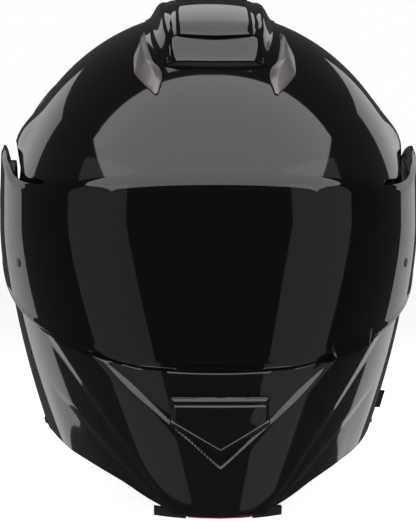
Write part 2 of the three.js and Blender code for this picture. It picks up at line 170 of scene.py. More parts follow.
class Paint(Nodes):
    """A material built on its Principled shader."""

    def __init__(self, name: str, base: Sequence[float], roughness: float, metallic: float = 0.0) -> None:
        """Starts a material.

        Args:
            name: The material's name.
            base: Base colour.
            roughness: Roughness.
            metallic: Metallic.
        """
        self.material = bpy.data.materials.new(name)
        self.material.use_nodes = True
        super().__init__(self.material.node_tree)
        self.shader = self.tree.nodes["Principled BSDF"]
        self.base = (*base, 1.0)
        self.set({"Base Color": self.base, "Roughness": roughness, "Metallic": metallic})
        self.place = self.node("ShaderNodeTexCoord", {}, {}, "Object")

    def set(self, values: dict[str, object]) -> None:
        """Sets or links the shader's sockets.

        Args:
            values: A value or Socket for each input's name.
        """
        for name, value in values.items():
            self.fill(self.shader.inputs[name], value)

    def noise(self, scale: float, detail: float = 2.0, stretch: Sequence[float] = (1, 1, 1)) -> Socket:
        """Noise on the object's own place.

        Args:
            scale: Cells per metre.
            detail: Octaves.
            stretch: Scale along each axis.

        Returns:
            The noise, around 0.5.
        """
        place = self.node("ShaderNodeMapping", {}, {"Vector": self.place, "Scale": tuple(stretch)})
        return self.node("ShaderNodeTexNoise", {}, {"Vector": place, "Scale": scale, "Detail": detail})

    def axis(self, name: str) -> Socket:
        """One coordinate of the object's own place, in metres."""
        return self.node("ShaderNodeSeparateXYZ", {}, {0: self.place}, name)

    def bump(self, height: Socket, strength: float, distance: float) -> None:
        """Raises the surface by a height.

        Args:
            height: The pattern.
            strength: The bump's strength.
            distance: Its depth in metres.
        """
        values = {"Height": height, "Strength": strength, "Distance": distance}
        self.set({"Normal": self.node("ShaderNodeBump", {}, values)})

    def mottle(self, pattern: Socket, other: Sequence[float]) -> None:
        """Varies the base colour.

        Args:
            pattern: How much of the other colour, 0 to 1.
            other: The other colour.
        """
        shades = {0: pattern, 6: self.base, 7: (*other, 1.0)}
        mixed = self.node("ShaderNodeMix", {"data_type": "RGBA"}, shades, 2)
        self.set({"Base Color": mixed})


@dataclass(frozen=True)
class Lacquer:
    """Deep gloss lacquer, faintly rippled like sprayed paint."""

    name: str = "gloss_lacquer"
    base: Shade = (0.006, 0.006, 0.007)
    roughness: float = 0.05

    def make(self) -> bpy.types.Material:
        """The finish as a material."""
        paint = Paint(self.name, self.base, self.roughness)
        paint.set({"Coat Weight": 1.0, "Coat Roughness": 0.02, "IOR": 1.5})
        paint.set({"Roughness": paint.noise(9, 3) * 0.04 + self.roughness})
        paint.bump(paint.noise(260, 1), 0.004, 0.00005)
        return paint.material


@dataclass(frozen=True)
class Smoke:
    """Dark tinted polycarbonate."""

    name: str = "smoke_shield"
    base: Shade = (0.004, 0.004, 0.005)
    roughness: float = 0.02
    opacity: float = 0.93

    def make(self) -> bpy.types.Material:
        """The finish as a material."""
        paint = Paint(self.name, self.base, self.roughness)
        paint.set({"IOR": 1.59, "Coat Weight": 0.6, "Coat Roughness": 0.01, "Alpha": self.opacity})
        paint.set({"Roughness": paint.noise(14, 2) * 0.02 + self.roughness})
        return paint.material


@dataclass(frozen=True)
class Moulding:
    """Moulded plastic, rubber, painted or metal trim with a fine grain."""

    name: str
    base: Shade
    other: Shade
    roughness: float
    metallic: float = 0.0
    grain: float = 900.0
    depth: float = 0.00008
    strength: float = 0.25
    coat: float = 0.0
    stretch: tuple[float, float, float] = (1, 1, 1)

    def make(self) -> bpy.types.Material:
        """The finish as a material."""
        paint = Paint(self.name, self.base, self.roughness, self.metallic)
        fine = paint.noise(self.grain, 2, self.stretch)
        paint.mottle(fine * 0.7 + paint.noise(22, 3) * 0.3, self.other)
        worn = paint.noise(60, 3) * 0.14 + (self.roughness - 0.07)
        paint.set({"Roughness": worn, "Coat Weight": self.coat})
        paint.bump(fine, self.strength, self.depth)
        return paint.material


@dataclass(frozen=True)
class Weave:
    """Cloth or webbing with crossed threads."""

    name: str
    base: Shade
    other: Shade
    pitch: float
    roughness: float = 0.92
    depth: float = 0.0002

    def make(self) -> bpy.types.Material:
        """The finish as a material."""
        paint = Paint(self.name, self.base, self.roughness)
        turn = 2 * math.pi / self.pitch
        one = ((paint.axis("X") + paint.axis("Z") * 0.6) * turn).sine()
        two = ((paint.axis("Y") + paint.axis("Z") * 0.8) * turn).sine()
        threads = one * two * 0.5 + 0.5
        paint.mottle(threads * 0.6 + paint.noise(35, 4) * 0.4, self.other)
        paint.set({"Sheen Weight": 0.35, "Sheen Roughness": 0.5})
        paint.bump(threads + paint.noise(1500, 2) * 0.5, 0.6, self.depth)
        return paint.material


class Finish(Enum):
    """The helmet's finishes, by the record's slot names."""

    gloss = Lacquer()
    smoke = Smoke()
    satin = Moulding("satin_moulding", (0.012, 0.012, 0.013), (0.022, 0.022, 0.024), 0.38)
    # Pale grey of the crown scoops; on the temple frames the same grey is a painted highlight.
    vent = Moulding(
        "vent_grey", (0.20, 0.178, 0.175), (0.27, 0.245, 0.24), 0.3, 0.55, 2600, 0.00003, 0.12, 0.6
    )
    rubber = Moulding("soft_rubber", (0.010, 0.010, 0.010), (0.02, 0.02, 0.02), 0.62, grain=1300)
    foam = Moulding(
        "bead_foam", (0.018, 0.018, 0.019), (0.045, 0.045, 0.048), 0.85, grain=260, depth=0.0006,
        strength=0.6,
    )
    cloth = Weave("brushed_lining", (0.014, 0.014, 0.016), (0.045, 0.045, 0.05), 0.0022)
    webbing = Weave("strap_webbing", (0.010, 0.010, 0.010), (0.035, 0.035, 0.036), 0.0016, 0.8, 0.0003)
    steel = Moulding(
        "plated_steel", (0.50, 0.51, 0.53), (0.62, 0.63, 0.65), 0.3, 1.0, 700, 0.00004, 0.2,
        stretch=(1, 1, 12),
    )
    red = Moulding("red_moulding", (0.42, 0.015, 0.012), (0.5, 0.03, 0.025), 0.35, grain=700)


FINISHES: dict[str, bpy.types.Material] = {}


def finish(name: str) -> bpy.types.Material:
    """The material of a slot, made once.

    Args:
        name: The record's slot name.

    Returns:
        The material.
    """
    if name not in FINISHES:
        FINISHES[name] = Finish[name].value.make()
    return FINISHES[name]


# ---------------------------------------------------------------- the helmet's skin
@dataclass(frozen=True)
class Skin:
    """The smooth surface that every shell follows, in metres.

    An angle of 0 faces front and a positive one goes to the wearer's left.
    """

    crown: float = 291 * MM
    equator: float = 160 * MM
    half: float = 123 * MM
    front: float = 150 * MM
    back: float = 166 * MM
    middle: float = 3 * MM
    narrowing: float = 40 * MM
    tuck: float = 44 * MM
    bulge: float = 48 * MM
    power: float = 2.2
    straighten: float = 0.08
    taper: float = 1.6
    jaw_power: float = 1.5
    jaw_reach: float = 1.35
    jaw_point: float = 0.4

    def point(self, angle: float, z: float, straight: bool = False) -> Vector:
        """A point of the bare skin.

        Args:
            angle: Turn from the front, in radians.
            z: Its height.
            straight: Whether the sides stay upright above the equator, as the face shield's do.

        Returns:
            The point.
        """
        if z >= self.equator:
            lift = min((z - self.equator) / (self.crown - self.equator), 1.0)
            swell, drop = math.sqrt(max(1 - lift * lift, 0.0)), 0.0
        else:
            swell, drop = 1.0, 1 - z / self.equator
        half = self.half * (swell**self.straighten if straight else swell) - self.narrowing * drop**self.taper
        across, ahead = math.sin(angle), -math.cos(angle)
        if ahead < 0:
            reach = self.front * swell + self.bulge * drop**self.jaw_power * (self.jaw_reach - drop)
            power = self.power - self.jaw_point * drop
        else:
            reach, power = self.back * swell - self.tuck * drop**self.taper, self.power
        x = half * math.copysign(abs(across) ** (2 / power), across)
        y = self.middle + reach * math.copysign(abs(ahead) ** (2 / power), ahead)
        return Vector((x, y, z))

    def at(self, angle: float, z: float, offset: float = 0.0, straight: bool = False) -> Vector:
        """A point at an offset along the skin's normal.

        Args:
            angle: Turn from the front, in radians.
            z: Its height before the offset.
            offset: Distance outwards.
            straight: As in point.

        Returns:
            The point.
        """
        here = self.point(angle, z, straight)
        if not offset:
            return here
        if z > self.crown - 0.02 * MM:
            return here + Vector((0, 0, offset))
        turn, rise, no_length = 1e-3, 0.4 * MM, 1e-12
        low, high = max(z - rise, -2 * MM), min(z + rise, self.crown - 0.005 * MM)
        sideways = self.point(angle + turn, z, straight) - self.point(angle - turn, z, straight)
        up = self.point(angle, high, straight) - self.point(angle, low, straight)
        normal = sideways.cross(up)
        return here + normal.normalized() * offset if normal.length > no_length else here

    def dome(self, x: float, y: float, offset: float = 0.0) -> Vector:
        """A point over a place of the crown, above the equator.

        Args:
            x: Across.
            y: Along.
            offset: Distance outwards.

        Returns:
            The point.
        """

        def height(px: float, py: float) -> float:
            """The bare skin's height over a place."""
            reach = self.front if py < self.middle else self.back
            across, ahead = abs(px / self.half) ** self.power, abs((py - self.middle) / reach) ** self.power
            spread = (across + ahead) ** (2 / self.power)
            return self.equator + (self.crown - self.equator) * math.sqrt(max(1 - spread, 0.0))

        step = 0.5 * MM
        slope_x = (height(x + step, y) - height(x - step, y)) / (2 * step)
        slope_y = (height(x, y + step) - height(x, y - step)) / (2 * step)
        return Vector((x, y, height(x, y))) + Vector((-slope_x, -slope_y, 1)).normalized() * offset


SKIN = Skin()


def along(curve: Curve, y: float) -> float:
    """Height of a side-view curve.

    Args:
        curve: Its (y, z) points in millimetres, y rising.
        y: The place, in metres.

    Returns:
        The height in metres, smoothed through the points.
    """
    at = y / MM
    if at <= curve[0][0]:
        return curve[0][1] * MM
    if at >= curve[-1][0]:
        return curve[-1][1] * MM
    last = len(curve) - 1
    pairs = [(curve[max(i - 1, 0)], curve[min(i + 1, last)]) for i in range(last + 1)]
    slopes = [(after[1] - before[1]) / (after[0] - before[0]) for before, after in pairs]
    for i in range(last):
        (y0, z0), (y1, z1) = curve[i], curve[i + 1]
        if y0 <= at <= y1:
            span, t = y1 - y0, (at - y0) / (y1 - y0)
            chord = (z1 - z0) / span
            m0, m1 = (max(-3 * abs(chord), min(3 * abs(chord), m)) for m in (slopes[i], slopes[i + 1]))
            t2, t3 = t * t, t * t * t
            leaving = (2 * t3 - 3 * t2 + 1) * z0 + (t3 - 2 * t2 + t) * span * m0
            arriving = (3 * t2 - 2 * t3) * z1 + (t3 - t2) * span * m1
            return (leaving + arriving) * MM
    return curve[-1][1] * MM


def bisect(low: float, high: float, below: Callable[[float], bool], steps: int = 30) -> float:
    """The value at which a test turns from true to false.

    Args:
        low: A value at which the test is true.
        high: A value at which it is false.
        below: The test.
        steps: Halvings of the range.

    Returns:
        The value.
    """
    for _ in range(steps):
        middle = (low + high) / 2
        if below(middle):
            low = middle
        else:
            high = middle
    return (low + high) / 2


def angle_at(y: float, z: float, straight: bool = False) -> float:
    """The angle on the left side at which the skin has a given y.

    Args:
        y: The place along the helmet, in metres.
        z: The height.
        straight: As in Skin.point.

    Returns:
        The angle, from 0 at the front to pi at the back.
    """
    return bisect(0.0, math.pi, lambda angle: SKIN.point(angle, z, straight).y < y, 34)


def on_edge(edge: Callable[[float], float], angle: float, straight: bool, low: float, high: float) -> float:
    """Height at which a column of the skin crosses a side-view edge.

    Args:
        edge: Height of the edge at a y.
        angle: The column.
        straight: As in Skin.point.
        low: Lowest height looked at.
        high: Highest height looked at.

    Returns:
        The height.
    """
    return bisect(low, high, lambda z: z < edge(SKIN.point(angle, z, straight).y))


def angle_of_x(x: float, z: float) -> float:
    """The angle in front at which the skin has a given x at a height."""
    return math.copysign(bisect(0.0, 1.5, lambda angle: SKIN.point(angle, z).x < abs(x)), x)


def smooth(value: float, width: float) -> float:
    """0 below -width, 1 above width, and an even step between."""
    t = min(max((value / width + 1) / 2, 0.0), 1.0)
    return t * t * (3 - 2 * t)


# ---------------------------------------------------------------- mesh helpers
def keep(
    made: bmesh.types.BMesh, name: str, slot: str, body: str, replaces: Iterable[str] = (),
    sharp: float = 35.0,
) -> bpy.types.Object:
    """Turns a bmesh into a piece that rides on a body.

    Args:
        made: The mesh, in the helmet's frame.
        name: The piece's name.
        slot: The record's slot, which is also its finish.
        body: The CAD body.
        replaces: The CAD nodes that it stands for.
        sharp: Edges that turn by more than this many degrees stay sharp.

    Returns:
        The piece.
    """
    mesh = bpy.data.meshes.new(name)
    made.to_mesh(mesh)
    made.free()
    piece = bpy.data.objects.new(name, mesh)
    bpy.context.scene.collection.objects.link(piece)
    mesh.shade_smooth()
    mesh.set_sharp_from_angle(angle=math.radians(sharp))
    mesh.materials.append(finish(slot))
    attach(piece, body)
    for node in replaces:
        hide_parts(node)
    LOG.info("%s on %s", name, body)
    return piece


def sheet_of(columns: int, rows: int, place: Callable[[float, float], Vector]) -> bmesh.types.BMesh:
    """A grid moved onto a surface.

    Args:
        columns: Steps across.
        rows: Steps up.
        place: The point for (s, t), s from -1 to 1 across and t from 0 to 1 up.

    Returns:
        The mesh, its doubles merged.
    """
    made = bmesh.new()
    bmesh.ops.create_grid(made, x_segments=columns, y_segments=rows, size=1)
    for vertex in made.verts:
        vertex.co = place(vertex.co.x, (vertex.co.y + 1) / 2)
    bmesh.ops.remove_doubles(made, verts=made.verts, dist=0.02 * MM)
    return made


def thicken(made: bmesh.types.BMesh, wall: float, rounding: float = 0.0) -> bmesh.types.BMesh:
    """Gives an open sheet a wall on its inner side and rounds the rim.

    Args:
        made: The sheet.
        wall: Its thickness.
        rounding: Radius of the rim's edges.

    Returns:
        The same mesh, closed.
    """
    faces = list(made.faces)
    bmesh.ops.recalc_face_normals(made, faces=faces)
    outward = sum(face.normal.dot(face.calc_center_median() - HEAD_CENTRE) for face in faces)
    if outward < 0:
        bmesh.ops.reverse_faces(made, faces=faces)
    made.normal_update()
    bmesh.ops.solidify(made, geom=faces, thickness=wall)
    if rounding:
        rim_turn = math.radians(50)
        edges = [edge for edge in made.edges if edge.is_manifold and edge.calc_face_angle(0) > rim_turn]
        bmesh.ops.bevel(
            made, geom=edges, offset=rounding, offset_type="OFFSET", segments=2, profile=0.5,
            affect="EDGES", material=-1, clamp_overlap=True,
        )
    return made


Edge = Callable[[float], float]


def band(
    low: Edge, high: Edge, ear: tuple[float, float], offset: float, grid: tuple[int, int], straight: bool,
    relief: Callable[[Vector], float],
) -> bmesh.types.BMesh:
    """A sheet of skin round the front, between two side-view edges that meet at the ears.

    Args:
        low: Height of the lower edge at a y.
        high: Height of the upper edge at a y.
        ear: The y and z at which the edges meet.
        offset: Distance outside the skin.
        grid: Steps across and up.
        straight: As in Skin.point.
        relief: Extra offset at a point of the skin.

    Returns:
        The mesh.
    """
    last = angle_at(*ear, straight)
    lowest, highest = -1 * MM, 250 * MM

    def place(s: float, t: float) -> Vector:
        """The point for (s, t)."""
        angle = last * math.sin(s * math.pi / 2)
        side = abs(angle)
        if side > last * 0.99999:
            z = ear[1]
        else:
            bottom = on_edge(low, side, straight, lowest, highest)
            top = on_edge(high, side, straight, lowest, highest)
            z = bottom + (max(top, bottom) - bottom) * t
        return SKIN.at(angle, z, offset + relief(SKIN.point(angle, z, straight)), straight)

    return sheet_of(*grid, place)


# ---------------------------------------------------------------- the main shells
SHIELD_TOP: Curve = (
    (-190, 190), (-140, 186), (-100, 182), (-66, 187), (-40, 199), (-20, 208), (4, 209.5),
    (24, 206), (38, 196), (43, 177),
)
SHIELD_FOOT: Curve = (
    (-190, 81), (-150, 84.5), (-133, 89), (-108, 96), (-62, 111), (-30, 125), (-6, 138), (20, 146),
    (38, 158), (43, 177),
)
RIM: Curve = (
    (-220, 2), (-158, 2), (-147, 7), (-125, 18), (-86, 28), (-40, 38), (5, 42), (48, 38), (84, 22),
    (106, 6), (122, 1.2),
)
SEAM: Curve = (
    (1.2, -20.5), (30, -17), (81.5, -6.8), (116.5, 9.6), (146.5, 25.6), (156, 40), (177, 45.6),
    (197, 39), (207.2, 24), (210.7, 4),
)


@dataclass
class OuterShell:
    """The painted shell, the pocket under the shield's sides and the rim's trim."""

    join: float = 210.7 * MM
    brow: Curve = (
        (-160, 177), (-136, 176), (-112, 171.5), (-99, 171), (-94, 183.5), (-66, 188.2),
        (-40, 200.2), (-20, 209.2), (4, 210.7),
    )
    pocket_low: Curve = (
        (-97, 168.5), (-82, 168), (-66, 161), (-60, 140), (-56, 100), (-50, 62), (-46, 40),
        (-20, 40), (-14, 34), (-5, 80), (11, 115), (28, 145), (42, 156), (48, 177),
    )
    pocket_high: Curve = (
        (-97, 185), (-66, 190), (-40, 202), (-20, 211), (4, 213), (24, 209), (40, 199), (48, 177),
    )
    pocket_depth: float = 7.2 * MM
    wall: float = 6.2 * MM
    rounding: float = 0.8 * MM
    shoulder: float = 4.0 * MM
    shoulder_at: tuple[float, float] = (4, 214)
    shoulder_spread: tuple[float, float] = (42, 13)
    front_columns: int = 84
    back_columns: int = 110
    rows: int = 46
    cap_rows: int = 44

    def seam_angle(self, z: float) -> float:
        """The angle at which the back part begins at a height."""
        return angle_at(along(SEAM, z), z)

    def build(self) -> None:
        """Builds the shell's pieces."""
        self.skin()
        self.pocket()
        self.trim()

    def skin(self) -> None:
        """The painted skin, from three sheets that meet at one level."""
        start = self.seam_angle(self.join)
        lift = math.acos((self.join - SKIN.equator) / (SKIN.crown - SKIN.equator))
        feet: dict[float, float] = {}

        def painted(angle: float, z: float) -> Vector:
            """A point of the skin, with its soft shoulder above the shield's ear."""
            at = SKIN.point(angle, z)
            (mid_y, mid_z), (spread_y, spread_z) = self.shoulder_at, self.shoulder_spread
            rise = math.exp(-(((z / MM - mid_z) / spread_z) ** 2) - ((at.y / MM - mid_y) / spread_y) ** 4)
            return SKIN.at(angle, z, self.shoulder * rise)

        def cap(angle: float, t: float) -> Vector:
            """A point between the joining level and the crown."""
            return painted(angle, SKIN.equator + (SKIN.crown - SKIN.equator) * math.cos(lift * (1 - t)))

        def back_angle(s: float, z: float) -> float:
            """Angle of a back column at a height."""
            return math.pi + s * (math.pi - self.seam_angle(z))

        def back(s: float, t: float) -> Vector:
            """A point between the rim and the joining level, behind the seam."""
            if s not in feet:

                def under_rim(z: float) -> bool:
                    """Whether a height of this column is below the rim."""
                    return z < along(RIM, SKIN.point(back_angle(s, z), z).y)

                feet[s] = bisect(0.0, 60 * MM, under_rim, 18)
            z = feet[s] + (self.join - feet[s]) * (1 - (1 - t) ** 1.15)
            return painted(back_angle(s, z), z)

        brows: dict[float, float] = {}

        def front(s: float, t: float) -> Vector:
            """A point between the brow and the joining level."""
            angle = start * s
            if s not in brows:
                edge = on_edge(lambda y: along(self.brow, y), abs(angle), False, 150 * MM, 215 * MM)
                brows[s] = min(edge, self.join)
            return painted(angle, brows[s] + (self.join - brows[s]) * t)

        made = sheet_of(self.back_columns, self.rows + 30, back)
        for other in (
            sheet_of(self.front_columns, 22, front),
            sheet_of(self.front_columns, self.cap_rows, lambda s, t: cap(start * s, t)),
            sheet_of(self.back_columns, self.cap_rows, lambda s, t: cap(math.pi + s * (math.pi - start), t)),
        ):
            spare = bpy.data.meshes.new("spare")
            other.to_mesh(spare)
            other.free()
            made.from_mesh(spare)
            bpy.data.meshes.remove(spare)
        bmesh.ops.remove_doubles(made, verts=made.verts, dist=0.05 * MM)
        thicken(made, self.wall, self.rounding)
        keep(made, "painted_shell", "gloss", "shell", ["outer_shell"])

    def pocket(self) -> None:
        """The recess that the chin bar's arms swing in."""
        middle, reach = -24.5, 72.4
        for side, turn in SIDES:

            def place(s: float, t: float) -> Vector:
                """A point of the recess's floor."""
                y = (middle + reach * math.sin(s * math.pi / 2)) * MM
                bottom = along(self.pocket_low, y)
                z = bottom + (max(along(self.pocket_high, y), bottom) - bottom) * t
                return SKIN.at(turn * angle_at(y, z), z, -self.pocket_depth)

            made = thicken(sheet_of(56, 40, place), 2.4 * MM)
            keep(made, f"arm_pocket_{side}", "satin", "shell")

    def trim(self) -> None:
        """The soft bead along the rim, from seam to seam."""
        seam = angle_at(-19 * MM, 39 * MM)
        tall, thick, lift, inset = 1.5, 4.2, 1.6, 3.1

        def place(s: float, t: float) -> Vector:
            """A point of the bead."""
            angle = math.pi + s * (math.pi - seam)
            z = on_edge(lambda y: along(RIM, y), math.pi - abs(math.pi - angle), False, 0.0, 60 * MM)
            turn = math.pi * 2 * t
            height = z + (lift + tall * math.cos(turn)) * MM
            return SKIN.at(angle, height, (-inset + thick * math.sin(turn)) * MM)

        made = sheet_of(120, 14, place)
        bmesh.ops.holes_fill(made, edges=[e for e in made.edges if e.is_boundary], sides=0)
        bmesh.ops.recalc_face_normals(made, faces=made.faces)
        keep(made, "rim_bead", "rubber", "shell", ["rim_trim_left", "rim_trim_right"])


@dataclass
class ChinBar:
    """The hinged lower front: creased skin, hub plates and vent plate."""

    foot: Curve = (
        (-220, 2), (-158, 2), (-147, 7), (-125, 18), (-86, 28), (-40, 38), (-22, 39.5),
        (-18.6, 41), (-8, 82), (8, 118), (24, 148), (30, 166),
    )
    top: Curve = (
        (-220, 88), (-150, 90), (-133, 95), (-108, 102), (-62, 117), (-38, 130), (-16, 156),
        (6, 175), (30, 166),
    )
    ear: tuple[float, float] = (30 * MM, 166 * MM)
    wall: float = 3.4 * MM
    grid: tuple[int, int] = (320, 78)
    creases: tuple[tuple[tuple[float, float], tuple[float, float], float, float], ...] = (
        ((0, 28), (52, 46.6), -1.7, 2.3),
        ((44, 29), (48, 66), 1.1, 2.2),
        ((56, 31), (36, 36), 0.9, 2.0),
    )
    ledge_drop: float = 3.6
    ledge_height: float = 1.2
    inset: float = 2.2
    smooth_from: float = -70

    def relief(self, at: Vector) -> float:
        """Creases of the moulding and the ledge under the shield.

        Each crease is a line in the front view, from a start along a run, with its step and its width.

        Args:
            at: The point of the skin.

        Returns:
            The extra offset.
        """
        x, y, z = abs(at.x) / MM, at.y / MM, at.z / MM
        if y > self.smooth_from:
            return 0.0
        fade = smooth(self.smooth_from - y - 14, 14)
        ledge = along(SHIELD_FOOT, at.y) / MM - self.ledge_drop
        height = self.ledge_height * smooth(ledge - z, 0.9) - self.inset
        for (start_x, start_z), (run_x, run_z), step, width in self.creases:
            across = ((z - start_z) * run_x - (x - start_x) * run_z) / math.hypot(run_x, run_z)
            height += step * smooth(across, width)
        return height * fade * MM

    def build(self) -> None:
        """Builds the chin bar's pieces."""
        made = band(
            lambda y: along(self.foot, y), lambda y: along(self.top, y), self.ear, 0.0, self.grid,
            False, self.relief,
        )
        thicken(made, self.wall, 0.7 * MM)
        keep(made, "chin_bar_skin", "gloss", "chin_bar", ["chin_bar_shell"])
        for side, turn in SIDES:
            hub = turned_disc(turn * 117.3 * MM, turn * 121.8 * MM, 25 * MM, 1.2 * MM, 6.4 * MM)
            keep(hub, f"arm_hub_{side}", "satin", "chin_bar")
        self.plate()

    def plate(self) -> None:
        """The sliding cover of the chin vent, with its pointed foot and raised rim."""
        half, top, shoulder, tip = 26.3, 66.3, 51.0, 35.3
        stand, bevel, rounding, line, dish = 3.3, 0.8, 1.1, 0.6, 0.9
        slant = 0.86

        def place(s: float, t: float) -> Vector:
            """A point of the plate's face."""
            foot = shoulder + (tip - shoulder) * (1 - abs(s))
            z = foot + (top - foot) * t
            inward = (z - foot) * slant
            edge = min(half * (1 - abs(s)), inward, top - z)
            height = stand - bevel * (1 - smooth(edge - 2.0, 0.9)) - rounding * (1 - smooth(edge - 0.3, 0.6))
            height -= line * smooth(0.9 - abs(z - (top - 4.4)), 0.6)
            height -= dish * smooth(inward - 2.3, 0.6) * (1 - smooth(inward - 9, 5))
            return SKIN.at(angle_of_x(half * s * MM, z * MM), z * MM, height * MM)

        made = thicken(sheet_of(110, 84, place), 1.1 * MM)
        keep(made, "chin_vent_cover", "gloss", "vent_plate", ["chin_vent_plate"])


def turned_disc(inner: float, outer: float, radius: float, rounding: float, dish: float) -> bmesh.types.BMesh:
    """A round plate on the pivot's axis, with a round dish in its face.

    Args:
        inner: x of its inner face.
        outer: x of its outer face.
        radius: Its radius.
        rounding: Radius of the outer edge.
        dish: Radius of the dish.

    Returns:
        The mesh.
    """
    made = bmesh.new()
    y, z = PIVOT
    side = math.copysign(1, outer - inner)
    lip, depth = 0.6 * MM, 1.1 * MM
    profile = [(inner, 0.0), (inner, radius), (outer - side * rounding, radius)]
    for turn in (0.4, 0.8, 1.2, math.pi / 2):
        back, down = rounding * (1 - math.sin(turn)), rounding * (1 - math.cos(turn))
        profile.append((outer - side * back, radius - down))
    profile += [(outer, dish + lip), (outer - side * lip, dish)]
    profile += [(outer - side * depth, dish * 0.9), (outer - side * depth, 0.0)]
    verts = [made.verts.new((x, y, z + r)) for x, r in profile]
    edges = [made.edges.new(pair) for pair in zip(verts, verts[1:])]
    bmesh.ops.spin(
        made, geom=verts + edges, cent=(0, y, z), axis=(1, 0, 0), angle=2 * math.pi, steps=72, use_merge=True
    )
    bmesh.ops.remove_doubles(made, verts=made.verts, dist=0.002 * MM)
    bmesh.ops.recalc_face_normals(made, faces=made.faces)
    return made


@dataclass
class FaceShield:
    """The tinted shield with its chamfered top edge, lift tab and pivot caps."""

    outside: float = 3.5 * MM
    wall: float = 1.3 * MM
    ear: tuple[float, float] = (43 * MM, 177 * MM)
    grid: tuple[int, int] = (240, 54)
    chamfer: float = 1.5
    lip: float = 0.3

    def relief(self, at: Vector) -> float:
        """Chamfer along the top edge and a thicker lip along the foot."""
        top = (along(SHIELD_TOP, at.y) - at.z) / MM
        foot = (at.z - along(SHIELD_FOOT, at.y)) / MM
        drop = self.chamfer * (1 - smooth(top - 2.6, 2.6)) - self.lip * (1 - smooth(foot - 1.9, 0.45))
        return -drop * MM

    def build(self) -> None:
        """Builds the shield's pieces."""
        made = band(
            lambda y: along(SHIELD_FOOT, y), lambda y: along(SHIELD_TOP, y), self.ear, self.outside,
            self.grid, True, self.relief,
        )
        thicken(made, self.wall, 0.35 * MM)
        keep(made, "tinted_shield", "smoke", "shield", ["face_shield"])
        for side, turn in SIDES:
            cap = turned_disc(turn * 123.7 * MM, turn * 126.8 * MM, 12 * MM, 1.4 * MM, 7.5 * MM)
            keep(cap, f"pivot_cap_{side}", "satin", "shield", [f"shield_cap_{side}"])
        self.tab()

    def tab(self) -> None:
        """The finger tab under the shield's edge on the wearer's left."""
        low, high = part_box("shield_lift_tab")
        level = 95 * MM
        start, end = angle_of_x(low.x + 0.4 * MM, level), angle_of_x(high.x - 0.4 * MM, level)

        def place(s: float, t: float) -> Vector:
            """A point of the tab's face."""
            angle = start + (end - start) * (s + 1) / 2
            foot = on_edge(lambda y: along(SHIELD_FOOT, y), angle, True, 60 * MM, 140 * MM)
            ends = smooth((1 - abs(s)) * 12 - 1.2, 1.2)
            z = foot + (-3.2 * ends + 6.0 * t) * MM
            return SKIN.at(angle, z, (3.9 + 2.2 * (1 - t) * ends) * MM, True)

        made = thicken(sheet_of(30, 10, place), 1.4 * MM, 0.3 * MM)
        keep(made, "lift_tab", "smoke", "shield", ["shield_lift_tab"])


